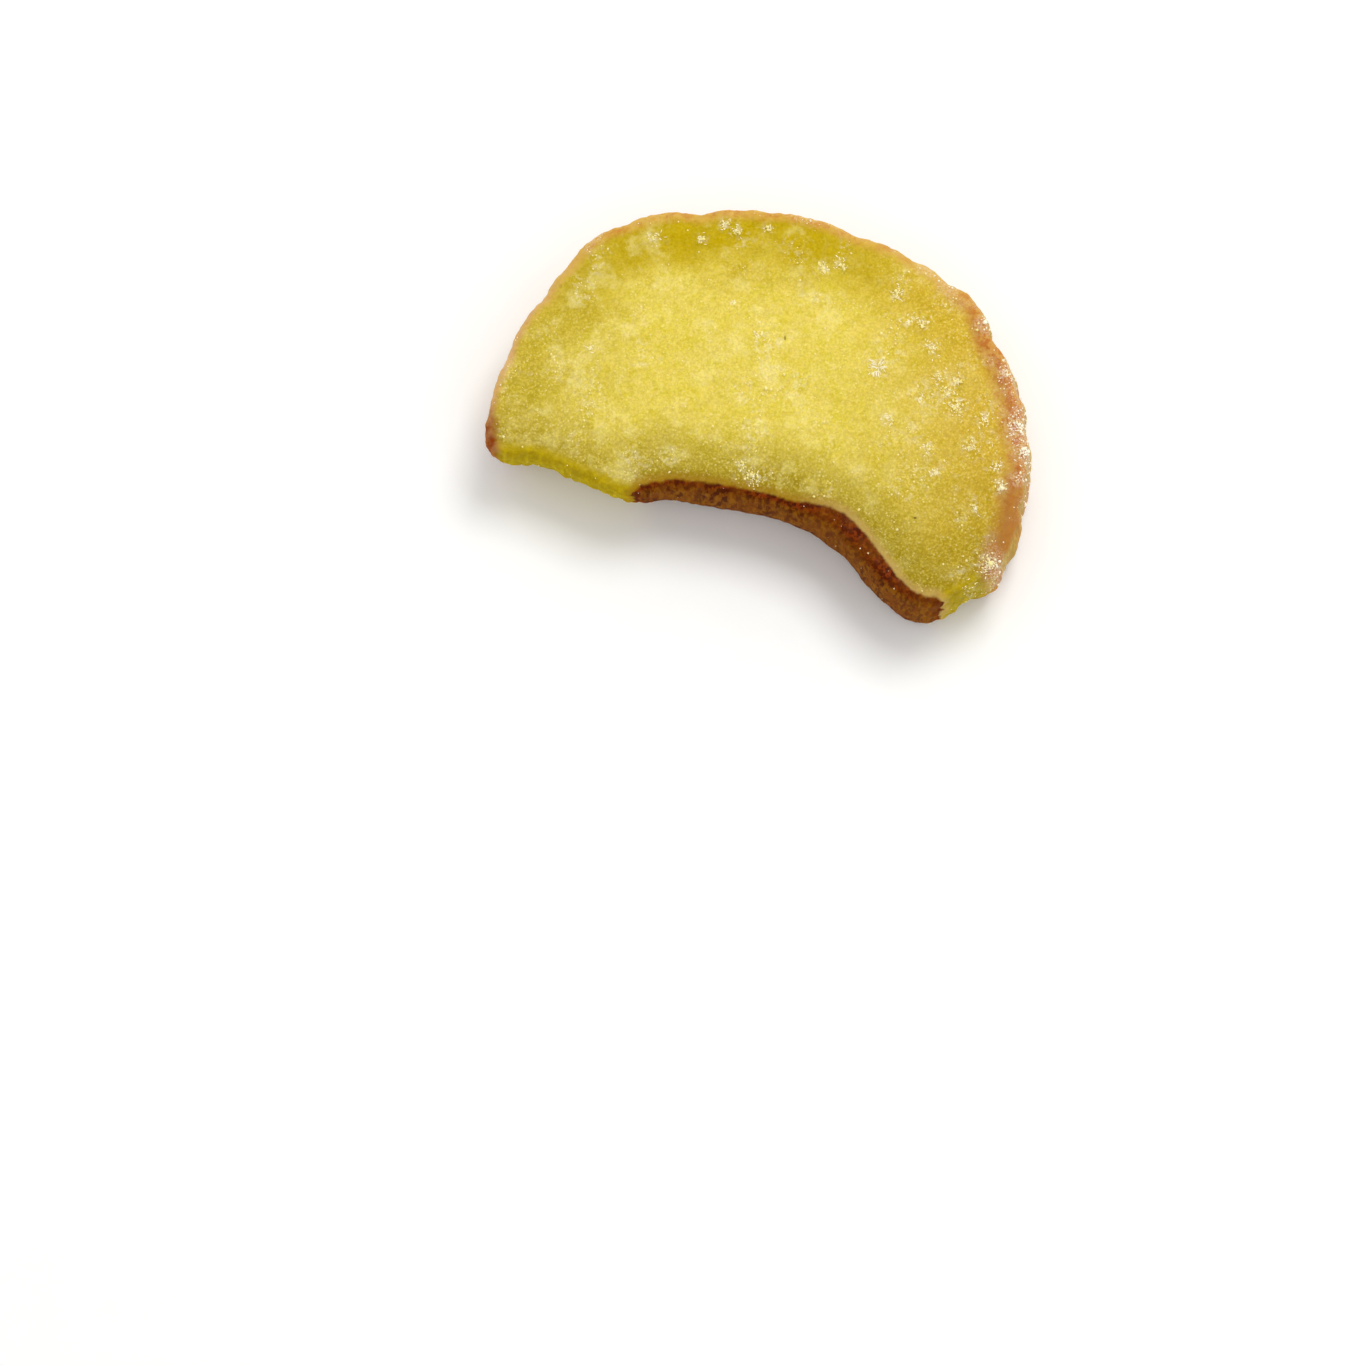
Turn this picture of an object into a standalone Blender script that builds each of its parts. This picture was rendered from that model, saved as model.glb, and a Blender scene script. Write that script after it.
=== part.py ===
"""One slice cut across a rhubarb stalk, lying on a cut face. Metres, +Z up, origin under the middle of its box.

A thick stalk is rounded and ribbed on its outer side and hollowed along its inner side, so a slice of it
is a half moon with a shallow groove. It grew as one piece, skin and flesh together, and it is one solid.
+X runs across the stalk and +Y from the groove to the ribbed back.
"""

import math

import bmesh
import bpy
import numpy as np
from mathutils import Vector, noise
from mathutils.geometry import interpolate_bezier

MM = 0.001

# Driving dimensions, in millimetres
THICKNESS = 8.5  # length of stalk between the two cuts
TOP_EDGE = 0.75  # radius where the skin turns over into the upper cut face
FOOT_EDGE = 0.55  # the same at the lower cut face
BARREL = 0.35  # how far the skin swells out between the cuts
LEAN = Vector((0.7, -0.1))  # how far the lower cut lies to one side, as the knife wasn't square to the stalk
UNDERCUT_CURVE = 1.5  # above 1, a side that draws in does so mostly near its foot

# Outline of the slice, in millimetres, clockwise from its left tip. The ribbed back comes first.
BACK = [
    (-22.0, -2.2),
    (-21.3, 2.4),
    (-19.6, 7.0),
    (-16.9, 11.0),
    (-13.6, 15.1),
    (-8.8, 17.4),
    (-2.8, 17.9),
    (3.4, 17.6),
    (9.3, 15.7),
    (14.7, 13.0),
    (19.2, 9.3),
    (21.8, 3.7),
    (22.9, -2.6),
    (22.2, -8.6),
    (20.5, -12.9),
]
LOBE = [(17.6, -14.8), (14.9, -16.1), (12.3, -15.4)]
GROOVE = [(9.6, -12.9), (7.1, -9.9), (2.9, -7.9), (-2.2, -6.7), (-6.6, -6.2)]
PEELED_SIDE = [(-10.3, -6.7), (-14.6, -4.9), (-18.6, -3.4), (-20.9, -3.4)]

# Stretches where the side draws in towards its foot: from, to, how far in, how far past its ends it dies out
UNDERCUTS = [
    (PEELED_SIDE[0], PEELED_SIDE[-1], 2.0, 5.0),
    (BACK[-1], LOBE[0], 0.7, 5.0),
    (GROOVE[2], GROOVE[4], 0.7, 4.5),
]

# Furrows between the ribs: bearing from the middle in degrees anticlockwise from +X, depth, half width
FURROWS = [
    (165.4, 0.30, 0.9),
    (149.6, 0.26, 0.8),
    (139.5, 0.28, 0.9),
    (121.4, 0.26, 1.1),
    (103.6, 0.46, 1.1),
    (85.8, 0.15, 0.9),
    (62.0, 0.20, 1.1),
    (45.5, 0.18, 0.8),
    (34.5, 0.34, 0.9),
    (18.5, 0.50, 1.0),
    (-2.2, 0.28, 0.9),
    (-19.5, 0.26, 0.9),
    (-30.5, 0.20, 0.8),
]

# Middle line of the half moon, which the cut faces close in on
MIDDLE_LINE = [(-14.5, 2.4), (-7.0, 5.4), (1.5, 5.2), (9.0, 1.0), (15.2, -8.5)]

AROUND = 168  # points round each ring
SPAN_STEPS = 24  # points read from each span of a curve before it is spaced evenly
FACE_RINGS = (0.86, 0.64, 0.42, 0.24, 0.1)  # upper cut face, as shares of the way in to the middle line
FOOT_RINGS = (0.12, 0.34, 0.68)
EVENING_PASSES = 6  # how often neighbours are averaged where the rings close in on the middle line
TOP_EDGE_STEPS = 4
FOOT_EDGE_STEPS = 3
WALL_STEPS = 4

# Relief of the upper cut face, in millimetres
DOME = 0.3  # the soft pith stands above the rim
DOME_REACH = 4.0  # how far in from the skin it has mostly risen
FLAT_EDGE = 1.0  # the relief dies out over this last stretch before the edge
VEIN_TROUGH = 0.16  # the face dips just inside the skin
VEIN_TROUGH_AT = 2.4
VEIN_TROUGH_HALF_WIDTH = 1.1
KNIFE_WAVE = 0.07
KNIFE_WAVE_LENGTH = 7.5
KNIFE_BEARING = math.radians(24)
LUMPS = 0.16
LUMP_SIZE = 6.0
LUMP_SEED = Vector((3.1, 7.7, 1.9))
FOOT_RISE = 0.3  # the lower cut face curls up towards its edge, and is flat inside that
FOOT_RISE_WIDTH = 2.6

FLESH = (0.72, 0.60, 0.16, 1.0)


def clear_scene():
    for obj in list(bpy.data.objects):
        bpy.data.objects.remove(obj)


def curve_through(points, closed):
    """A smooth curve through the points, read from a Bezier curve with handles along the neighbours' chord."""
    count = len(points)
    spans = count if closed else count - 1
    at = [Vector((x, y, 0)) for x, y in points]

    def handle(i, way):
        before = at[(i - 1) % count] if closed else at[max(i - 1, 0)]
        after = at[(i + 1) % count] if closed else at[min(i + 1, count - 1)]
        reach = (at[(i + way) % count] - at[i]).length / 3
        return at[i] + (after - before).normalized() * reach * way

    read = []
    for i in range(spans):
        j = (i + 1) % count
        read += interpolate_bezier(at[i], handle(i, 1), handle(j, -1), at[j], SPAN_STEPS + 1)[:-1]
    if not closed:
        read.append(at[-1])
    return np.array([(p.x, p.y) for p in read])


def evenly_spaced(curve, count):
    """count points at equal steps along a closed curve, from its start."""
    ring = np.vstack([curve, curve[:1]])
    travelled = np.concatenate([[0], np.cumsum(np.linalg.norm(np.diff(ring, axis=0), axis=1))])
    stops = np.linspace(0, travelled[-1], count, endpoint=False)
    return np.column_stack([np.interp(stops, travelled, ring[:, k]) for k in (0, 1)]), stops


def outward(ring):
    """Unit vectors out of a ring that runs clockwise."""
    along = np.roll(ring, -1, axis=0) - np.roll(ring, 1, axis=0)
    along /= np.linalg.norm(along, axis=1)[:, None]
    return np.column_stack([-along[:, 1], along[:, 0]])


def ribbed(ring, stops, length):
    """The ring with a furrow pressed in at each bearing, measured along the skin."""
    out = outward(ring)
    bearings = np.degrees(np.arctan2(ring[:, 1], ring[:, 0]))
    depth = np.zeros(len(ring))
    for bearing, deep, half_width in FURROWS:
        nearest = stops[np.argmin(np.abs(bearings - bearing))]
        away = np.abs(stops - nearest)
        away = np.minimum(away, length - away)
        depth += deep * np.exp(-((away / half_width) ** 2))
    return ring - out * depth[:, None]


def share_of_stretch(ring, start, end, fade):
    """For each point, 1 along the straight line from start to end, dying out over fade past it."""
    along = end - start
    reach = np.clip((ring - start) @ along / (along @ along), 0, 1)
    away = np.linalg.norm(ring - start - reach[:, None] * along, axis=1)
    share = np.clip(1 - away / fade, 0, 1)
    return share * share * (3 - 2 * share)


def undercut(ring):
    """For each point, how the foot lies off the upper edge. Each stretch moves one way, so the ring can't fold."""
    moved = np.zeros_like(ring)
    for start, end, depth, fade in UNDERCUTS:
        start, end = np.array(start), np.array(end)
        along = (end - start) / np.linalg.norm(end - start)
        inward = np.array([along[1], -along[0]])
        moved += depth * share_of_stretch(ring, start, end, fade)[:, None] * inward
    return moved


def nearest_on_middle_line(ring):
    """For each point of the ring, where it comes to on the middle line, evened out along the ring."""
    line = curve_through(MIDDLE_LINE, closed=False)
    gaps = np.linalg.norm(ring[:, None] - line[None], axis=2)
    place = gaps.argmin(axis=1).astype(float)
    for _ in range(EVENING_PASSES):
        place = (np.roll(place, 1) + place + np.roll(place, -1)) / 3
    index = np.arange(len(line))
    return np.column_stack([np.interp(place, index, line[:, k]) for k in (0, 1)])


def distance_to_ring(points, ring):
    """How far each point lies from the nearest point of the ring."""
    return np.linalg.norm(points[:, None] - ring[None], axis=2).min(axis=1)


def face_relief(x, y, inset):
    """Height of the upper cut face above its edge, at a point that lies inset from the skin."""
    rise = DOME * (1 - math.exp(-inset / DOME_REACH))
    trough = VEIN_TROUGH * math.exp(-(((inset - VEIN_TROUGH_AT) / VEIN_TROUGH_HALF_WIDTH) ** 2))
    along = x * math.cos(KNIFE_BEARING) + y * math.sin(KNIFE_BEARING)
    wave = KNIFE_WAVE * math.sin(2 * math.pi * along / KNIFE_WAVE_LENGTH)
    lump = LUMPS * noise.noise(Vector((x, y, 0)) / LUMP_SIZE + LUMP_SEED)
    return (rise - trough + wave + lump) * min(inset / FLAT_EDGE, 1.0)


def foot_height(inset):
    """Height of the lower cut face above the surface, which is nothing further in than its curled edge."""
    share = max(0.0, 1 - inset / FOOT_RISE_WIDTH)
    return FOOT_RISE * share**2


def rings_of_slice():
    """Rings of points from the middle of the upper cut face, over the edge, down the skin, to the underside."""
    curve = curve_through(BACK + LOBE + GROOVE + PEELED_SIDE, closed=True)
    plain, stops = evenly_spaced(curve, AROUND)
    length = stops[-1] + stops[1]
    outline = ribbed(plain, stops, length)
    out = outward(outline)
    middle = nearest_on_middle_line(outline)
    drawn_in = undercut(outline)

    def skin(height, pushed_in):
        """The outline at a height between the cuts, moved in from the skin by pushed_in."""
        down = 1 - height / THICKNESS
        swell = BARREL * math.sin(math.pi * min(max(down, 0), 1))
        return outline + out * (swell - pushed_in) + drawn_in * down**UNDERCUT_CURVE + np.array(LEAN) * down

    def towards_middle(ring, share):
        target = middle + (ring.mean(axis=0) - outline.mean(axis=0))
        return ring + (target - ring) * share

    rings = []
    top = skin(THICKNESS, TOP_EDGE)
    for share in FACE_RINGS:
        ring = towards_middle(top, share)
        inset = distance_to_ring(ring, top)
        heights = [THICKNESS + face_relief(x, y, d) for (x, y), d in zip(ring, inset)]
        rings.append(np.column_stack([ring, heights]))
    for step in range(TOP_EDGE_STEPS + 1):
        turn = math.pi / 2 * step / TOP_EDGE_STEPS
        height = THICKNESS - TOP_EDGE * (1 - math.cos(turn))
        ring = skin(height, TOP_EDGE * (1 - math.sin(turn)))
        rings.append(np.column_stack([ring, np.full(AROUND, height)]))
    wall_top, wall_foot = THICKNESS - TOP_EDGE, FOOT_RISE + FOOT_EDGE
    for step in range(1, WALL_STEPS):
        height = wall_top + (wall_foot - wall_top) * step / WALL_STEPS
        rings.append(np.column_stack([skin(height, 0), np.full(AROUND, height)]))
    for step in range(FOOT_EDGE_STEPS + 1):
        turn = math.pi / 2 * step / FOOT_EDGE_STEPS
        height = wall_foot - FOOT_EDGE * math.sin(turn)
        ring = skin(height, FOOT_EDGE * (1 - math.cos(turn)))
        rings.append(np.column_stack([ring, np.full(AROUND, height)]))
    foot = rings[-1][:, :2]
    for share in FOOT_RINGS:
        ring = towards_middle(foot, share)
        inset = distance_to_ring(ring, foot)
        rings.append(np.column_stack([ring, [foot_height(d) for d in inset]]))
    return rings


def centred_over_origin(rings):
    """The rings in metres, with the origin under the middle of their box."""
    points = np.vstack(rings)
    low, high = points.min(axis=0), points.max(axis=0)
    origin = np.array([(low[0] + high[0]) / 2, (low[1] + high[1]) / 2, low[2]])
    return [(ring - origin) * MM for ring in rings]


def lofted(name, rings):
    """A closed mesh through the rings in turn, with its two ends filled."""
    bm = bmesh.new()
    loops = [[bm.verts.new(point) for point in ring] for ring in rings]
    for upper, lower in zip(loops, loops[1:]):
        for i in range(AROUND):
            j = (i + 1) % AROUND
            bm.faces.new((upper[i], lower[i], lower[j], upper[j]))
    ends = [bm.faces.new(loops[0]), bm.faces.new(loops[-1])]
    bmesh.ops.triangulate(bm, faces=ends, ngon_method="BEAUTY")
    bmesh.ops.recalc_face_normals(bm, faces=bm.faces)
    mesh = bpy.data.meshes.new(name)
    bm.to_mesh(mesh)
    bm.free()
    mesh.shade_smooth()
    return mesh


def flesh_material():
    material = bpy.data.materials.new("stalk_flesh")
    material.use_nodes = True
    shader = material.node_tree.nodes["Principled BSDF"]
    shader.inputs["Base Color"].default_value = FLESH
    shader.inputs["Roughness"].default_value = 0.45
    shader.inputs["Metallic"].default_value = 0.0
    return material


def main():
    clear_scene()
    collection = bpy.data.collections.new("rhubarb_slice")
    bpy.context.scene.collection.children.link(collection)
    mesh = lofted("stalk_slice", centred_over_origin(rings_of_slice()))
    mesh.materials.append(flesh_material())
    collection.objects.link(bpy.data.objects.new("stalk_slice", mesh))


main()
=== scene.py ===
"""A frozen slice of rhubarb stalk: granular flesh, ribbed and speckled skin, and the frost on them."""

import math

import bmesh
import bpy
import numpy as np
from mathutils import Matrix, Vector, noise
from mathutils.bvhtree import BVHTree
from mathutils.kdtree import KDTree


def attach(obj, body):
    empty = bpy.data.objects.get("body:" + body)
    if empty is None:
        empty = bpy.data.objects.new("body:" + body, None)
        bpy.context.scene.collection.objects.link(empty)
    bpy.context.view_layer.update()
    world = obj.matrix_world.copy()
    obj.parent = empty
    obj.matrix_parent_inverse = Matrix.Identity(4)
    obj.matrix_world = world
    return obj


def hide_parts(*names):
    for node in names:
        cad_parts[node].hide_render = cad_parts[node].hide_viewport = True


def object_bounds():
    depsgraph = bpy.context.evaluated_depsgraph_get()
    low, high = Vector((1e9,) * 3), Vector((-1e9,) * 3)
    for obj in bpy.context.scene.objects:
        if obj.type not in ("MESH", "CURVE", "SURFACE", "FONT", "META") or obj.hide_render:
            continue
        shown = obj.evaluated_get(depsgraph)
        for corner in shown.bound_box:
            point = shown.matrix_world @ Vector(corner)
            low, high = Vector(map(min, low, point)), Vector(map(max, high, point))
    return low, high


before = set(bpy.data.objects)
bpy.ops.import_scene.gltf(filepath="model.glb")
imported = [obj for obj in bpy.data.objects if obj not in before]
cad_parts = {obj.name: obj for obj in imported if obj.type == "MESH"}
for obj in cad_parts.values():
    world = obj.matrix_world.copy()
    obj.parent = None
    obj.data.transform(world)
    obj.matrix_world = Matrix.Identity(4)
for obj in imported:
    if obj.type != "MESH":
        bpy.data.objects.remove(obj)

CAD_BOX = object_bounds()
NODE = "stalk_slice"
MM = 0.001

# Camera, from the photograph's framing; places in millimetres
PHOTO_SIZE = 1366
MM_PER_PIXEL = 0.082
LENS = 100.0
SENSOR = 36.0
ELEVATION = math.radians(79)
AIM = Vector((-6.4, -23.6, 8.5))
FACE_HEIGHT = 8.7  # height at which a pixel of the cut face is placed
NEAREST_SEEN = 0.01  # metres

# Room, in metres
LIGHT_PLACE = Vector((0.1, 0.16, 0.38))
LIGHT_SIZE = 0.18
LIGHT_POWER = 0.75
ROOM_LIGHT = 0.8
FLOOR_HALF = 0.6

# Mesh of the slice, in millimetres
VOXEL = 0.2
WELD = 0.001
EVENING_PASSES = 5  # rounds of smoothing that take the voxel steps out

# Corners where the side changes, in millimetres, and the middle that they are seen from
MIDDLE = Vector((0.0, 3.0))
LEFT_TIP = Vector((-22.4, -3.6))  # the back's skin ends here, and flesh that lost its skin starts
GROOVE_CORNER = Vector((-10.2, -8.0))  # the groove's skin starts
LOBE_END = Vector((14.4, -17.2))  # the groove's skin ends, and bare flesh starts
LOBE_SHOULDER = Vector((19.8, -13.6))  # the back's skin starts again

# Relief of the surface, in millimetres
GRAIN_DEPTH = 0.045
FINE_GRAIN_DEPTH = 0.03
SWELL_DEPTH = 0.08
CRUST_DEPTH = 0.14
RIB_DEPTH = 0.1
FINE_RIB_DEPTH = 0.06
RIGHT_RIB_DEPTH = 0.3
WRINKLE_DEPTH = 0.05
LIP_DEPTH = 0.1
LIP_PLACE = 0.8  # the low lip runs this far inside the skin
LIP_WIDTH = 0.25
TEAR_DEPTH = 0.24
CRUST_ABOVE = 0.12  # how far the flesh may rise above its plain form

# Clusters of frost on the cut face: pixel of the photograph, and radius in millimetres
FROST_SPOTS = [
    (878, 368, 0.9), (956, 381, 0.5), (940, 377, 0.6), (948, 393, 0.7), (957, 407, 0.9), (920, 400, 0.4),
    (985, 419, 0.6), (971, 447, 0.7), (888, 419, 0.5), (928, 449, 0.5), (997, 466, 0.5), (1000, 486, 0.6),
    (936, 472, 0.4), (975, 507, 0.4), (932, 347, 0.7), (1006, 372, 0.6), (1019, 426, 1.1), (1024, 451, 0.9),
    (725, 223, 0.5), (735, 230, 0.5), (653, 237, 0.5), (702, 238, 0.4), (768, 228, 0.4), (733, 304, 0.3),
    (759, 336, 0.5), (590, 348, 0.3), (754, 477, 0.7), (742, 465, 0.4), (823, 268, 0.6), (841, 264, 0.5),
    (898, 293, 0.6), (909, 321, 0.5), (923, 325, 0.5), (990, 565, 1.2), (975, 590, 0.9),
]
STAR = FROST_SPOTS[0]  # the cluster whose needles all point outwards
PATCH_FROST = 0.36  # how thick the frost lies in its patches, from 0 to 1
RIM_FROST = 0.6  # the same along the right rim

# Dark ends of fibres: pixel of the photograph, and half width and half length in millimetres
FIBRE_ENDS = [(785, 338, 0.06, 0.22), (915, 518, 0.12, 0.1)]

# Ice, in millimetres
FROST_SEED = 11
GRAIN_RADIUS = 0.065
BARE_GRAINS = 0.3  # grains on a square millimetre without frost
FROST_GRAINS = 22  # and how many more where the frost is thickest
LOWEST_GRAIN = 0.6
HIGHEST = CAD_BOX[1][2] / MM + 0.2  # no grain of ice reaches above this
NEEDLE_LENGTH = 0.55
NEEDLE_WIDTH = 0.045
LOWEST_NEEDLE = 5.0
DROP = Vector((0, 0, 5))  # needles are dropped on the face from this far above it

# Tufts of needles: how many for each millimetre of a cluster's radius, their scatter as a share of it,
# how much they point outwards, what their length is divided by, and how white they are
STAR_TUFT = {"needles": 36, "scatter": 0.5, "outwards": 1.0, "shortened": 2, "white": 0.8}
LOOSE_TUFT = {"needles": 28, "scatter": 0.75, "outwards": 0.1, "shortened": 3.5, "white": 0.5}


def tint(red, green, blue):
    """A colour given as 0 to 255 screen values, as the linear values that shaders take."""
    def linear(value):
        value /= 255
        return value / 12.92 if value <= 0.04045 else ((value + 0.055) / 1.055) ** 2.4
    return linear(red), linear(green), linear(blue), 1.0


PITH = tint(226, 205, 95)
OLIVE = tint(196, 168, 4)
GREEN = tint(180, 158, 52)
AMBER = tint(212, 173, 58)
MOSS = tint(158, 134, 6)
BARE_FLESH = tint(162, 138, 0)
BARE_EDGE = tint(198, 174, 16)
# Groove skin: its own rusty brown and red, darkened as painted shade
GROOVE_BASE = tint(116, 60, 2)
GROOVE_LIGHT = tint(144, 92, 8)
GROOVE_SPECK = tint(60, 10, 0)
GROOVE_RED = tint(126, 44, 5)
GROOVE_LINING = tint(156, 118, 20)
PALE_LINE = tint(188, 156, 88)
SKIN_TAN = tint(212, 176, 92)
SKIN_AMBER = tint(198, 152, 50)
SKIN_ROSE = tint(178, 80, 50)
SKIN_OLIVE = tint(174, 146, 66)
SKIN_BROWN = tint(170, 112, 46)
SKIN_RUST = tint(184, 106, 36)
TIP_RED = tint(134, 60, 6)
EDGE_PINK = tint(208, 162, 112)
RIME = tint(248, 236, 164)
FROST = tint(253, 248, 226)
CLEAR_ICE = tint(240, 225, 134)
GLINT = tint(252, 233, 122)
DARK_SPECK = tint(62, 40, 10)
FLOOR_WHITE = tint(252, 252, 250)
FLOOR_SHADE = tint(249, 249, 247)
PATCHES_PER_SHIFT = 5  # patches of noise that a shift of 1 moves it by
DEEPER = (0.9, 0.9, 0.3, 1.0)  # multiplies a colour where clear ice lets the light deep in
SHADE = (0.74, 0.73, 0.7, 1.0)  # multiplies a colour in the small hollows between grains


class Wire:
    """An output of a shader node. Sums and products of wires and numbers add Math nodes."""

    def __init__(self, finish, socket):
        self.finish = finish
        self.socket = socket

    def math(self, operation, *values):
        return self.finish.add("ShaderNodeMath", {"operation": operation}, dict(enumerate(values)))

    def __add__(self, other):
        return self.math("ADD", self, other)

    def __sub__(self, other):
        return self.math("SUBTRACT", self, other)

    def __rsub__(self, other):
        return self.math("SUBTRACT", other, self)

    def __mul__(self, other):
        return self.math("MULTIPLY", self, other)

    def __truediv__(self, other):
        return self.math("DIVIDE", self, other)

    def __rtruediv__(self, other):
        return self.math("DIVIDE", other, self)

    __radd__ = __add__
    __rmul__ = __mul__

    def least(self, other):
        return self.math("MINIMUM", self, other)

    def most(self, other):
        return self.math("MAXIMUM", self, other)


class Finish:
    """A material being made: a Principled surface and the nodes that feed it."""

    def __init__(self, name, **constants):
        self.material = bpy.data.materials.new(name)
        self.material.use_nodes = True
        self.nodes = self.material.node_tree.nodes
        self.links = self.material.node_tree.links
        self.surface = self.nodes["Principled BSDF"]
        self.give(**constants)
        place = self.add("ShaderNodeTexCoord", output="Object")
        self.place = self.vector("SCALE", {"Vector": place, "Scale": 1 / MM})

    def give(self, **values):
        """Sets or feeds sockets of the surface, named with _ for a space."""
        for socket, value in values.items():
            self.feed(self.surface.inputs[socket.replace("_", " ")], value)

    def feed(self, socket, value):
        if isinstance(value, Wire):
            self.links.new(value.socket, socket)
        else:
            socket.default_value = value

    def add(self, kind, settings=None, sockets=None, output=0):
        """A node of any kind: its settings first, then the values or wires of its sockets."""
        node = self.nodes.new(kind)
        for setting, value in (settings or {}).items():
            setattr(node, setting, value)
        for socket, value in (sockets or {}).items():
            self.feed(node.inputs[socket], value)
        return Wire(self, node.outputs[output])

    def vector(self, operation, sockets):
        """Maths on places and directions."""
        return self.add("ShaderNodeVectorMath", {"operation": operation}, sockets)

    def measured(self, name):
        """A value stored on the mesh."""
        return self.add("ShaderNodeAttribute", {"attribute_name": name}, output="Fac")

    def blend(self, under, over, share, how="MIX"):
        """One colour over another."""
        settings = {"data_type": "RGBA", "clamp_factor": True, "blend_type": how}
        return self.add("ShaderNodeMix", settings, {0: share, 6: under, 7: over}, output=2)

    def drawn_out(self, along_z):
        """The place in millimetres, for patches that are longer along the stalk the smaller along_z is."""
        return self.vector("MULTIPLY", {0: self.place, 1: (1, 1, along_z)})

    def along(self, axis):
        """The place along one axis, in millimetres."""
        return self.add("ShaderNodeSeparateXYZ", None, {0: self.place}, output=axis)

    def mottle(self, size, detail=2.0, rough=0.5, place=None, shift=0.0):
        """Soft noise from 0 to 1 with patches of about the size given, in millimetres."""
        away = shift * size * PATCHES_PER_SHIFT
        moved = self.vector("ADD", {0: place or self.place, 1: (away, -away, away)})
        sockets = {"Vector": moved, "Scale": 1 / size, "Detail": detail, "Roughness": rough}
        return self.add("ShaderNodeTexNoise", None, sockets)

    def cells(self, size, output):
        """Cells of about the size given, in millimetres: Distance from their middles, or each one's Color."""
        return self.add("ShaderNodeTexVoronoi", None, {"Vector": self.place, "Scale": 1 / size}, output)

    def step(self, value, low, high):
        """0 below low, 1 above high and a smooth rise between."""
        settings = {"interpolation_type": "SMOOTHSTEP"}
        return self.add("ShaderNodeMapRange", settings, {"Value": value, "From Min": low, "From Max": high})

    def bump(self, height, depth, under):
        """A surface direction bent by a height, which is depth millimetres at 1."""
        sockets = {"Height": height, "Distance": depth * MM, "Strength": 1.0, "Normal": under}
        return self.add("ShaderNodeBump", None, sockets)


def view_axes():
    """The camera's place in millimetres, and its right, up and back directions."""
    back = Vector((0, -math.cos(ELEVATION), math.sin(ELEVATION)))
    right = Vector((1, 0, 0))
    distance = PHOTO_SIZE * MM_PER_PIXEL * LENS / SENSOR
    return AIM + back * distance, right, back.cross(right), back


def on_face(px, py):
    """Where a pixel of the photograph falls on the cut face, in millimetres."""
    place, right, up, back = view_axes()
    half = PHOTO_SIZE / 2
    ray = (right * (px - half) + up * (half - py)) * SENSOR / LENS / PHOTO_SIZE - back
    return place + ray * (FACE_HEIGHT - place.z) / ray.z


def bearing(x, y):
    """Direction from the middle of the slice, in degrees anticlockwise from +X."""
    return np.degrees(np.arctan2(y - MIDDLE.y, x - MIDDLE.x))


def eased(value, low, high):
    """0 below low, 1 above high and a smooth rise between, for arrays."""
    share = np.clip((value - low) / (high - low), 0, 1)
    return share * share * (3 - 2 * share)


def noise_over(points, size, shift=0.0, stretch=(1, 1, 1)):
    """Soft noise from -1 to 1 at each point, with lumps of about the size given."""
    placed = points * np.array(stretch) / size + shift
    return np.fromiter((noise.noise(p) for p in placed.tolist()), float, len(placed))


def linked(name, mesh):
    """An object of a mesh, in the scene."""
    piece = bpy.data.objects.new(name, mesh)
    bpy.context.scene.collection.objects.link(piece)
    return piece


def dressed(name, mesh, material):
    """A finished piece of the slice, riding where the CAD slice is and shown in its place."""
    mesh.transform(Matrix.Scale(MM, 4))
    mesh.materials.append(material)
    piece = linked(name, mesh)
    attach(piece, "root")
    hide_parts(NODE)
    return piece


def even_mesh():
    """The CAD slice as an even mesh of small faces, in millimetres."""
    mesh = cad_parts[NODE].data.copy()
    mesh.materials.clear()
    mesh.transform(Matrix.Scale(1 / MM, 4))
    welded = bmesh.new()
    welded.from_mesh(mesh)
    bmesh.ops.remove_doubles(welded, verts=welded.verts, dist=WELD)
    welded.to_mesh(mesh)
    welded.free()
    draft = linked("draft", mesh)
    remesh = draft.modifiers.new("even", "REMESH")
    remesh.mode = "VOXEL"
    remesh.voxel_size = VOXEL
    remesh.use_smooth_shade = True
    smooth = draft.modifiers.new("smooth", "SMOOTH")
    smooth.factor = 0.5
    smooth.iterations = EVENING_PASSES
    shown = draft.evaluated_get(bpy.context.evaluated_depsgraph_get())
    even = bpy.data.meshes.new_from_object(shown)
    bpy.data.objects.remove(draft)
    return even


def read(mesh, what):
    """The places or the normals of a mesh's points, as rows."""
    rows = np.empty(len(mesh.vertices) * 3, np.float32)
    mesh.vertices.foreach_get(what, rows)
    return rows.reshape(-1, 3).astype(float)


def store(mesh, name, values):
    """Keeps a value for each point of a mesh, for its material to measure."""
    mesh.attributes.new(name, "FLOAT", "POINT").data.foreach_set("value", values.astype(np.float32))


def distance_to(side, points):
    """How far each point lies from the nearest point of a side."""
    tree = KDTree(len(side))
    for i, place in enumerate(side.tolist()):
        tree.insert(place, i)
    tree.balance()
    return np.fromiter((tree.find(place)[2] for place in points.tolist()), float, len(points))


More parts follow.
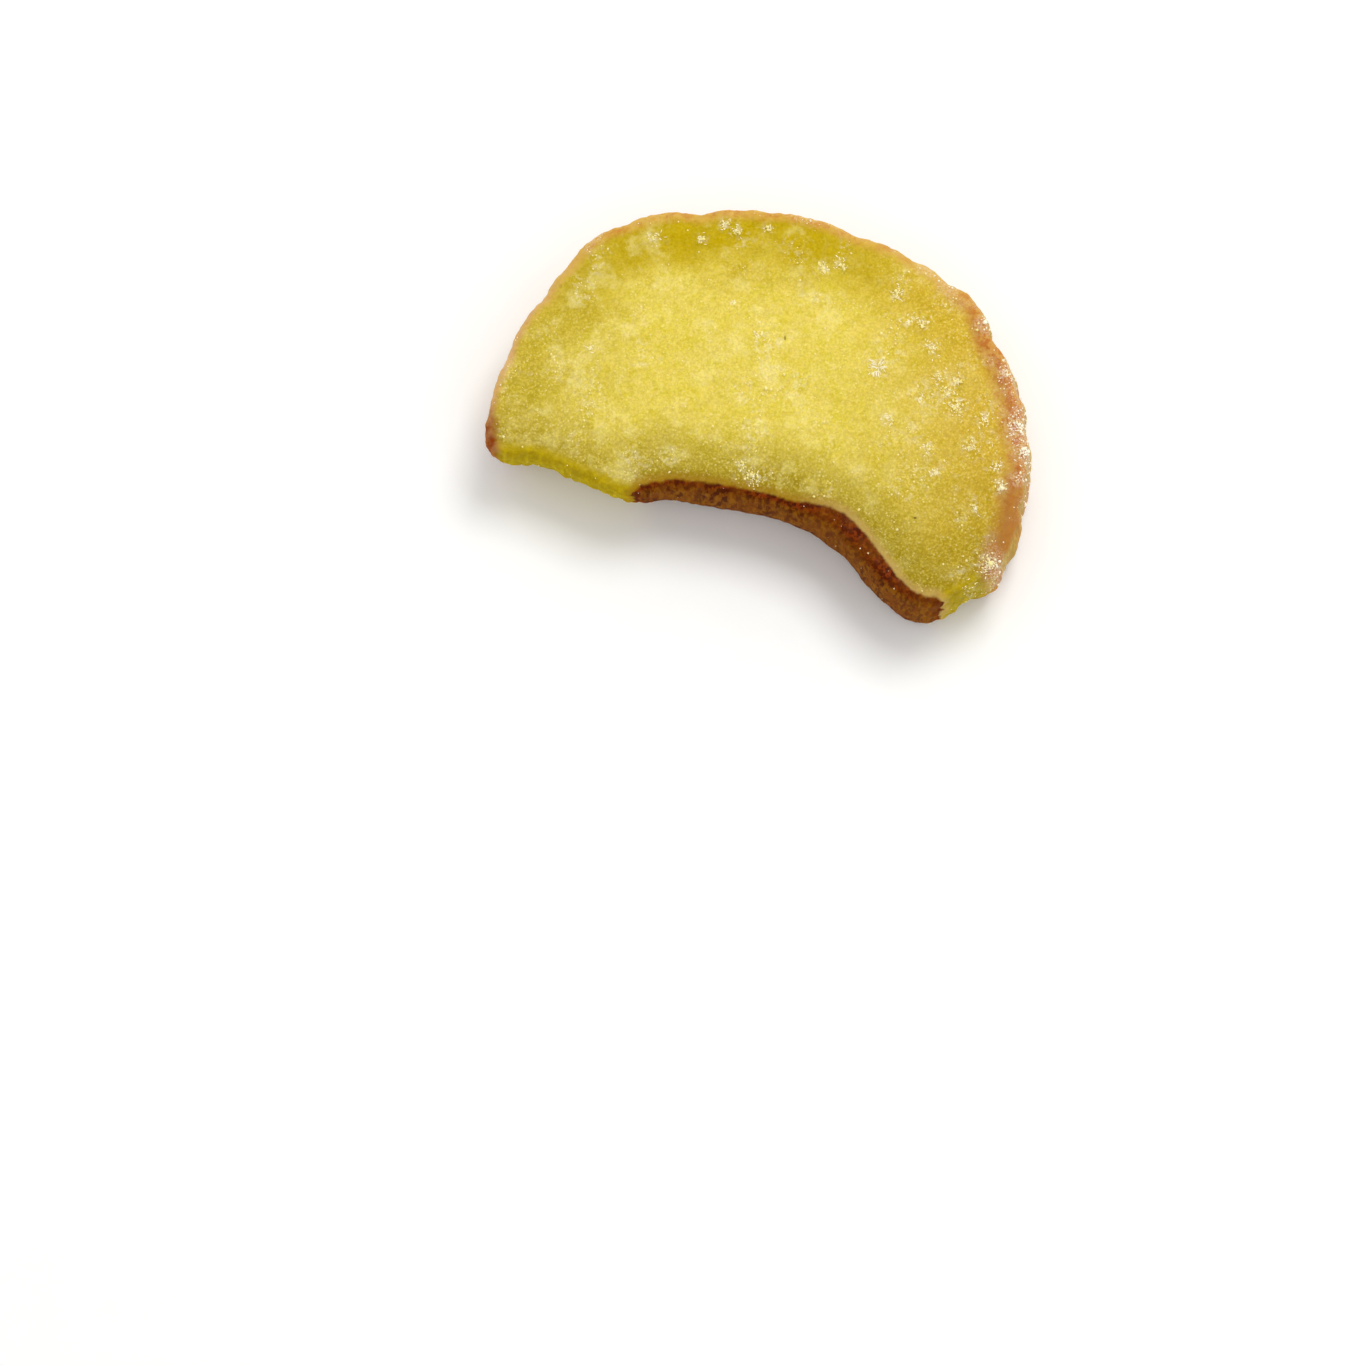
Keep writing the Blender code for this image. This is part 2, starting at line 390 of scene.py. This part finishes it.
class Form:
    """Where each point of the fine mesh lies on the slice, in millimetres, and how frosty and pale it is."""

    def __init__(self, mesh):
        self.at = read(mesh, "co")
        self.normal = read(mesh, "normal")
        turn = bearing(self.at[:, 0], self.at[:, 1])
        tip, corner = bearing(*LEFT_TIP), bearing(*GROOVE_CORNER)
        end, shoulder = bearing(*LOBE_END), bearing(*LOBE_SHOULDER)
        groove = (turn > corner) & (turn < end)
        bare = ((turn > tip) & (turn < corner)) | ((turn > end) & (turn < shoulder))
        upright = abs(self.normal[:, 2]) < 0.5
        self.from_back = distance_to(self.at[upright & ~groove & ~bare], self.at)
        self.from_groove = distance_to(self.at[upright & groove], self.at)
        self.from_bare = distance_to(self.at[upright & bare], self.at)
        self.flat = eased(abs(self.normal[:, 2]), 0.35, 0.8)
        self.frost = frost_on(self)
        skinned = 1 - eased(np.minimum(self.from_back, self.from_groove), 0.4, 1.2)
        self.pale = np.maximum(skinned, 0.8 * eased(self.at[:, 0], 18, 21))


def frost_on(form):
    """How thick the frost lies at each point, 0 to 1: in patches, in clusters and along the right rim."""
    at = form.at
    x, y, z = at.T
    clouds = noise_over(at, 3.0, 2.7) + 0.5 * noise_over(at, 1.2, 7.7)
    patches = eased(clouds, 0.05, 0.6) * PATCH_FROST
    rim = eased(x, 13, 19) * (1 - eased(form.from_back, 0.6, 2.4))
    rim = rim * eased(noise_over(at, 1.3, 3.1), -0.3, 0.3) * eased(y, -11, -6)
    frost = np.maximum(patches, rim * RIM_FROST)
    for px, py, radius in FROST_SPOTS:
        spot = on_face(px, py)
        away = np.hypot(x - spot.x, y - spot.y) / radius
        frost = np.maximum(frost, np.exp(-away**2) * (z > spot.z / 2))
    peeled = (x < 0) * (1 - eased(form.from_bare, 0.6, 1.6))
    return frost * eased(form.from_groove, 0.4, 1.4) * (1 - peeled)


def relief(form):
    """How far each point stands out from the plain form, in millimetres."""
    at = form.at
    grain = GRAIN_DEPTH * noise_over(at, 0.5) + FINE_GRAIN_DEPTH * noise_over(at, 0.3, 9.1)
    grain = grain + SWELL_DEPTH * noise_over(at, 1.7, 4.3)
    crust = CRUST_DEPTH * form.frost * np.clip(0.3 + noise_over(at, 0.42, 6.6), 0, 1)
    ribs = RIB_DEPTH * noise_over(at, 1.5, 1.3, (1, 1, 0.07))
    ribs = ribs + FINE_RIB_DEPTH * noise_over(at, 0.55, 5.2, (1, 1, 0.1))
    right = eased(at[:, 0], 10, 17) * eased(form.from_groove, 0.5, 2)
    ribs = ribs * (1 + right) + RIGHT_RIB_DEPTH * right * noise_over(at, 2.1, 6.2, (1, 1, 0.05))
    wrinkles = WRINKLE_DEPTH * noise_over(at, 0.45, 3.9, (1, 1, 0.25))
    skinned = np.minimum(form.from_back, form.from_groove)
    lip = LIP_DEPTH * np.exp(-(((skinned - LIP_PLACE) / LIP_WIDTH) ** 2))
    lip = lip * (0.4 + noise_over(at, 1.1, 8.8)) * form.flat
    torn = TEAR_DEPTH * noise_over(at, 0.8, 4.9) * (1 - eased(form.from_bare, 0.4, 1.2))
    return form.flat * (grain + crust) + (1 - form.flat) * (ribs + wrinkles) + lip + torn


def slice_body():
    """The slice itself, flesh and skin in one mesh, and the form that it was made on."""
    mesh = even_mesh()
    form = Form(mesh)
    moved = form.at + form.normal * relief(form)[:, None]
    moved[:, 2] = np.clip(moved[:, 2], 0, form.at[:, 2].max() + CRUST_ABOVE)
    mesh.vertices.foreach_set("co", moved.astype(np.float32).ravel())
    for name in ("from_back", "from_groove", "from_bare", "flat", "frost"):
        store(mesh, name, getattr(form, name))
    mesh.update()
    return dressed("slice_body", mesh, flesh_and_skin()), form


def cut_flesh(finish):
    """Colour of the cut face: pale pith, golden by the back, green left, amber right, mossy by the groove,
    with a painted shadow behind the lip.
    """
    x, y = finish.along(0), finish.along(1)
    drift = (finish.mottle(4.0, 5.0, 0.6, shift=1.0) - 0.5) * 8.0
    left = 1 - finish.step(x, -19.0, -9.0)
    right = finish.step(x, 4.0, 14.0)
    inward = finish.measured("from_back") * (1 + 0.4 * left) + drift
    by_back = 1 - finish.step(inward, 2.5, 7.5)
    colour = finish.blend(PITH, OLIVE, by_back * (1 - 0.4 * left - 0.3 * right))
    colour = finish.blend(colour, GREEN, (1 - finish.step(x + drift, -25.0, -6.0)) * 0.55)
    colour = finish.blend(colour, AMBER, finish.step(x + drift, 6.0, 20.0) * 0.75)
    lower_right = right * (1 - finish.step(y, 2.0, 7.0)) * (1 - finish.step(x, 16.0, 20.0))
    colour = finish.blend(colour, GREEN, lower_right * 0.15)
    colour = finish.blend(colour, MOSS, (1 - finish.step(y + drift * 0.6, -18.0, 1.0)) * 0.55)
    rim = finish.measured("from_groove").least(finish.measured("from_bare") + 1.5)
    colour = finish.blend(colour, MOSS, (1 - finish.step(rim + drift * 0.25, 0.0, 7.0)) * 0.95)
    patches = finish.step(finish.mottle(1.5, 4.0, 0.65), 0.47, 0.6)
    colour = finish.blend(colour, DEEPER, patches * 0.45, "MULTIPLY")
    wavy_rim = rim + drift * 0.12
    # Painted shadow behind the raised lip by the groove: a thin band laid in the flesh's mossy colour
    painted_lip_shadow = finish.step(wavy_rim, 1.3, 1.9) * (1 - finish.step(wavy_rim, 2.4, 3.4))
    colour = finish.blend(colour, MOSS, painted_lip_shadow * patches * finish.step(x, -2.0, 4.0) * 0.7)
    pale = finish.step(finish.mottle(2.6, 4.0, 0.65, shift=8.0), 0.5, 0.66)
    return finish.blend(colour, RIME, pale * (0.3 - 0.18 * right))


def fibre_end(finish, px, py, wide, long):
    """Where a dark fibre's end shows at a pixel of the photograph: 1 inside it, 0 outside."""
    spot = on_face(px, py)
    x, y = (finish.along(0) - spot.x) / wide, (finish.along(1) - spot.y) / long
    return 1 - finish.step(x * x + y * y, 0.5, 1.5)


def rimed(finish, colour):
    """The colour with grains of ice in it, clear and deep between them, and frost where the mesh says."""
    frost = finish.measured("frost")
    fine = finish.mottle(0.2, 2.0, 0.7, shift=3.0)
    grains = 1 - finish.step(finish.cells(0.3, "Distance"), 0.1, 0.4)
    spread = finish.step(finish.mottle(1.1, 3.0, 0.7, shift=21.0), 0.42, 0.6)
    coarse = finish.step(finish.mottle(0.5, 2.0, 0.6, shift=13.0), 0.48, 0.64)
    clear = 1 - finish.step(finish.mottle(0.5, 3.0, 0.7, shift=31.0), 0.4, 0.54)
    colour = finish.blend(colour, DEEPER, clear * 0.45, "MULTIPLY")
    x, y = finish.along(0), finish.along(1)
    by_back = (1 - finish.step(finish.measured("from_back"), 3.0, 7.5)) * finish.step(y, 5.0, 11.0)
    veil = 1 - 0.8 * by_back * (1 - finish.step(x, 6.0, 14.0))
    colour = finish.blend(colour, GLINT, finish.step(fine, 0.5, 0.64) * (0.22 * veil + 0.3 * frost))
    colour = finish.blend(colour, RIME, grains * spread * veil * 0.45)
    colour = finish.blend(colour, FROST, coarse * frost * 0.55)
    colour = finish.blend(colour, SHADE, (1 - finish.step(fine, 0.36, 0.52)) * 0.4, "MULTIPLY")
    one, other = (fibre_end(finish, *end) for end in FIBRE_ENDS)
    return finish.blend(colour, DARK_SPECK, one.most(other) * 0.7)


def back_skin(finish):
    """Colour of the ribbed back: olive and rosy brown in bands along the stalk, tan at the cut edges."""
    x, y, z = (finish.along(axis) for axis in range(3))
    threads = finish.mottle(0.35, 3.0, 0.6, finish.drawn_out(0.05), 2.0)
    streaks = finish.mottle(1.1, 4.0, 0.65, finish.drawn_out(0.12), 12.0)
    wide = finish.mottle(2.6, 3.0, 0.6, finish.drawn_out(0.15), 5.0)
    blotches = finish.step(finish.mottle(0.6, 4.0, 0.7, shift=19.0), 0.45, 0.56)
    right = finish.step(x, 14.0, 19.0)
    top = finish.step(y, 8.0, 15.0) * finish.step(wide, 0.3, 0.6) * (0.55 - 0.55 * right)
    lower_right = finish.step(x, 12.0, 19.0) * (1 - finish.step(y, -10.0, -3.0))
    ruddy = right.most(finish.step(y, 11.0, 15.0) * finish.step(streaks, 0.4, 0.6) * 0.7)
    edge_colour = finish.blend(SKIN_TAN, SKIN_AMBER, top.most(finish.step(threads, 0.5, 0.62) * 0.6))
    edge_colour = finish.blend(edge_colour, SKIN_RUST, ruddy * (0.45 + 0.5 * blotches))
    edge_colour = finish.blend(edge_colour, SKIN_BROWN, lower_right * 0.9)
    colour = finish.blend(SKIN_BROWN, SKIN_OLIVE, finish.step(wide, 0.36, 0.6) * 0.85)
    colour = finish.blend(colour, SKIN_ROSE, finish.step(streaks, 0.46, 0.72) * 0.4)
    colour = finish.blend(colour, SKIN_TAN, finish.step(threads, 0.46, 0.62) * 0.35)
    from_middle = z - FACE_HEIGHT / 2
    cut_edge = finish.step(from_middle * from_middle, 9.0, 15.0)
    colour = finish.blend(colour, edge_colour, cut_edge * 0.9)
    colour = finish.blend(colour, EDGE_PINK, cut_edge * (1 - finish.step(x, -20.0, -14.0)) * 0.7)
    red_tip = (1 - finish.step(x, -21.5, -19.5)) * (1 - finish.step(y, -2.0, 1.4))
    colour = finish.blend(colour, TIP_RED, red_tip * (0.6 + 0.4 * finish.step(streaks, 0.35, 0.65)))
    frost = finish.measured("frost") * finish.step(finish.mottle(0.16, 3.0, 0.7, shift=17.0), 0.42, 0.62)
    return finish.blend(colour, FROST, frost * (0.35 + 0.3 * right.most(cut_edge)))


def groove_skin(finish):
    """Colour of the groove's skin: rusty brown with dark red specks drawn out along the stalk, all darkened
    as painted shade.
    """
    long = finish.drawn_out(0.3)
    edge = finish.step(finish.measured("from_groove"), 0.1, 0.6)
    specks = finish.step(finish.mottle(0.42, 4.0, 0.65, long, 7.0) + 0.04 * edge, 0.47, 0.58)
    clouds = finish.step(finish.mottle(2.2, 2.0, 0.5, long, 4.0), 0.35, 0.65)
    light = finish.step(finish.mottle(0.5, 4.0, 0.7, long, 14.0), 0.44, 0.62)
    colour = finish.blend(GROOVE_BASE, GROOVE_LIGHT, light * 0.6)
    colour = finish.blend(colour, GROOVE_RED, edge * (0.3 + 0.5 * clouds))
    return finish.blend(colour, GROOVE_SPECK, specks * (0.4 + 0.4 * clouds))


def peeled_side(finish, inward):
    """Colour of flesh that lost its skin: clear, with fibres along the stalk, lighter at its upper edge."""
    fibres = finish.mottle(0.4, 4.0, 0.65, finish.drawn_out(0.12), 2.0)
    grain = finish.step(finish.mottle(0.2, 3.0, 0.7, shift=23.0), 0.45, 0.65)
    colour = finish.blend(BARE_FLESH, MOSS, finish.step(fibres, 0.42, 0.72) * 0.6)
    colour = finish.blend(colour, BARE_EDGE, (1 - finish.step(fibres, 0.26, 0.56)) * 0.8)
    colour = finish.blend(colour, GREEN, grain * 0.3)
    return finish.blend(colour, BARE_EDGE, finish.step(inward, 0.0, 1.2) * 0.7)


def faceted(finish, size, tilt):
    """The surface direction with each grain of ice tilted its own way, so that some catch the light."""
    lean = finish.vector("SUBTRACT", {0: finish.cells(size, "Color"), 1: (0.5, 0.5, 0.5)})
    lean = finish.vector("SCALE", {0: lean, "Scale": tilt})
    plain = finish.add("ShaderNodeNewGeometry", output="Normal")
    return finish.vector("NORMALIZE", {0: finish.vector("ADD", {0: plain, 1: lean})})


def skin_thickness(finish, x, y, right):
    """How far the back's skin reaches in over the cut face, in millimetres."""
    left = 1 - finish.step(x, -22.0, -14.0)
    red_tip = (1 - finish.step(x, -21.5, -19.5)) * (1 - finish.step(y, -2.6, 0.6))
    return 0.75 + 0.9 * right - 0.2 * left + 0.2 * finish.step(y, 10.0, 14.0) + 0.4 * red_tip


def flesh_and_skin():
    """The slice's one material: each skin over the flesh, as far from its side as it reaches."""
    finish = Finish("frozen_flesh_and_skin", Subsurface_Weight=0.6, Subsurface_Radius=(1.6, 1.2, 0.3),
                    Subsurface_Scale=MM, IOR=1.36, Specular_IOR_Level=0.06)
    x, y = finish.along(0), finish.along(1)
    right = finish.step(x, 12.0, 20.0)
    flat = finish.measured("flat")
    ragged = (finish.mottle(0.8, 3.0, 0.65, shift=6.0) - 0.5) * 1.1
    colour = rimed(finish, cut_flesh(finish))

    bare = finish.measured("from_bare") + ragged * 0.5
    peeled = (1 - finish.step(bare, 0.45, 1.25)) * (1 - 0.4 * right)
    colour = finish.blend(colour, peeled_side(finish, bare + ragged), peeled)

    back = finish.measured("from_back") + ragged * (0.65 + 0.35 * right)
    back = back - skin_thickness(finish, x, y, right)
    skinned = 1 - finish.step(back, -0.45 - 0.25 * right, 0.45 + 0.65 * right)
    colour = finish.blend(colour, back_skin(finish), skinned)

    broad = finish.step(x, 2.0, 7.0) * (1 - finish.step(x, 9.0, 14.0))
    groove = finish.measured("from_groove") + ragged * (0.35 + 1.2 * (1 - flat)) - 0.8 * broad
    lining = finish.blend(GROOVE_LINING, PALE_LINE, finish.step(x, 2.0, 8.0))
    colour = finish.blend(colour, lining, (1 - finish.step(groove, 0.9, 1.8)) * 0.8)
    colour = finish.blend(colour, groove_skin(finish), 1 - finish.step(groove, 0.65, 0.95))

    grain = finish.mottle(0.25, 2.0, 0.6, shift=9.0)
    bumps = finish.bump(grain * (0.3 + 0.7 * flat), 0.05, faceted(finish, 0.32, flat * 0.5))
    finish.give(Base_Color=colour, Roughness=0.75 - flat * (0.55 - 0.25 * grain), Normal=bumps)
    return finish.material


def ice():
    """Ice of the grains and needles: nearly the flesh's colour on the cut face, and white on the skin."""
    finish = Finish("frost_ice", IOR=1.31, Specular_IOR_Level=0.6)
    milk = finish.mottle(0.4, 2.0, 0.5)
    colour = finish.blend(CLEAR_ICE, RIME, finish.step(milk, 0.4, 0.6))
    colour = finish.blend(colour, FROST, finish.measured("pale"))
    finish.give(Base_Color=colour, Roughness=0.15 + 0.3 * milk)
    return finish.material


def turned_at_random(draw, count):
    """Rotation matrices in every direction alike."""
    drawn = draw.normal(size=(4, count))
    w, x, y, z = drawn / np.linalg.norm(drawn, axis=0)
    rows = [[1 - 2 * (y * y + z * z), 2 * (x * y - z * w), 2 * (x * z + y * w)],
            [2 * (x * y + z * w), 1 - 2 * (x * x + z * z), 2 * (y * z - x * w)],
            [2 * (x * z - y * w), 2 * (y * z + x * w), 1 - 2 * (x * x + y * y)]]
    return np.array(rows).transpose(2, 0, 1)


def crystal():
    """Points and faces of one plain crystal of radius 1."""
    ball = bmesh.new()
    bmesh.ops.create_icosphere(ball, subdivisions=1, radius=1.0)
    points = np.array([v.co[:] for v in ball.verts])
    faces = np.array([[v.index for v in f.verts] for f in ball.faces])
    ball.free()
    return points, faces


def crystals_mesh(name, seats, shapes, turns, pale):
    """One mesh of crystals, each scaled by its shape, turned, set on its seat and white where pale is 1."""
    points, faces = crystal()
    placed = np.einsum("nij,npj->npi", turns, points[None] * shapes[:, None]) + seats[:, None]
    listed = (faces[None] + len(points) * np.arange(len(seats))[:, None, None]).reshape(-1, 3)
    mesh = bpy.data.meshes.new(name)
    mesh.from_pydata(placed.reshape(-1, 3).tolist(), [], listed.tolist())
    store(mesh, "pale", np.repeat(pale, len(points)))
    mesh.update()
    return mesh


def frost_grains(body, form, draw, material):
    """Grains of ice sunk a little into the surface, more of them where the frost lies thick."""
    faces = body.data.polygons
    count = len(faces)
    area, first = np.empty(count), np.empty(count, int)
    faces.foreach_get("area", area)
    faces.foreach_get("loop_start", first)
    corners = np.empty(len(body.data.loops), int)
    body.data.loops.foreach_get("vertex_index", corners)
    point = corners[first]
    at, normal = read(body.data, "co") / MM, form.normal
    frost, height = form.frost[point], at[point, 2]
    density = (BARE_GRAINS + FROST_GRAINS * frost**1.6) * (0.25 + 0.75 * form.flat[point])
    point = np.repeat(point, draw.poisson(area / MM**2 * density * (height > LOWEST_GRAIN)))
    radius = GRAIN_RADIUS * draw.lognormal(0, 0.35, len(point)) * (0.8 + 0.5 * form.frost[point])
    shapes = radius[:, None] * draw.uniform(0.55, 1.3, (len(point), 3))
    seats = at[point] + normal[point] * radius[:, None] * 0.3 + draw.uniform(-0.1, 0.1, (len(point), 3))
    seats[:, 2] = np.minimum(seats[:, 2], HIGHEST - shapes.max(axis=1))
    turns = turned_at_random(draw, len(point))
    mesh = crystals_mesh("frost_grains", seats, shapes, turns, form.pale[point])
    return dressed("frost_grains", mesh, material)


def frost_needles(body, draw, material):
    """Feathery tufts of ice needles that lie nearly flat on the thicker frost."""
    copy = bmesh.new()
    copy.from_mesh(body.data)
    surface = BVHTree.FromBMesh(copy)
    copy.free()
    seats, shapes, turns, pale = [], [], [], []
    for spot in FROST_SPOTS:
        px, py, radius = spot
        middle = on_face(px, py)
        tuft = STAR_TUFT if spot == STAR else LOOSE_TUFT
        for _ in range(int(tuft["needles"] * radius)):
            way = draw.uniform(0, math.tau)
            outward = Vector((math.cos(way), math.sin(way), 0))
            above = (middle + outward * abs(draw.normal(0, radius * tuft["scatter"])) + DROP) * MM
            hit, normal, _, _ = surface.ray_cast(above, Vector((0, 0, -1)))
            if hit is None or hit.z < LOWEST_NEEDLE * MM:
                continue
            aim = (outward * tuft["outwards"] + Vector((*draw.normal(0, 0.4, 2), 0.0))).normalized()
            aim.z = draw.uniform(0.0, 0.15)
            length = NEEDLE_LENGTH * draw.uniform(0.4, 1.2) / tuft["shortened"]
            seats.append(Vector(hit) / MM + aim * length * 0.7 + normal * 0.02)
            shapes.append((length, NEEDLE_WIDTH * draw.uniform(0.6, 1.2), NEEDLE_WIDTH * 0.6))
            turns.append(aim.to_track_quat("X", "Z").to_matrix())
            pale.append(max(eased(middle.x, 18, 22), tuft["white"]))
    mesh = crystals_mesh("frost_needles", np.array(seats), np.array(shapes), np.array(turns), np.array(pale))
    return dressed("frost_needles", mesh, material)


def camera():
    """The photograph's view of the slice."""
    place, right, up, back = view_axes()
    lens = bpy.data.cameras.new("camera")
    lens.lens = LENS
    lens.sensor_width = SENSOR
    lens.clip_start = NEAREST_SEEN
    holder = linked("camera", lens)
    holder.matrix_world = Matrix.Translation(place * MM) @ Matrix((right, up, back)).transposed().to_4x4()
    bpy.context.scene.camera = holder


def key_light():
    """A square soft light aimed at the slice."""
    light = bpy.data.lights.new("key", "AREA")
    light.size = LIGHT_SIZE
    light.energy = LIGHT_POWER
    holder = linked("key", light)
    holder.location = LIGHT_PLACE
    holder.rotation_euler = (-LIGHT_PLACE).to_track_quat("-Z", "Y").to_euler()


def studio():
    """A white floor and soft light from above, a little brighter from the upper right."""
    scene = bpy.context.scene
    scene.world = bpy.data.worlds.new("soft_room")
    scene.world.use_nodes = True
    room = scene.world.node_tree.nodes["Background"].inputs
    room["Color"].default_value = (1, 1, 1, 1)
    room["Strength"].default_value = ROOM_LIGHT
    key_light()
    mesh = bpy.data.meshes.new("floor")
    sheet = bmesh.new()
    bmesh.ops.create_grid(sheet, size=FLOOR_HALF)
    sheet.to_mesh(mesh)
    sheet.free()
    finish = Finish("white_floor", Roughness=0.7)
    finish.give(Base_Color=finish.blend(FLOOR_WHITE, FLOOR_SHADE, finish.mottle(3.0, 4.0)))
    mesh.materials.append(finish.material)
    linked("floor", mesh)
    scene.view_settings.view_transform = "Standard"


def main():
    body, form = slice_body()
    draw = np.random.default_rng(FROST_SEED)
    frosty = ice()
    frost_grains(body, form, draw, frosty)
    frost_needles(body, draw, frosty)
    camera()
    studio()


main()
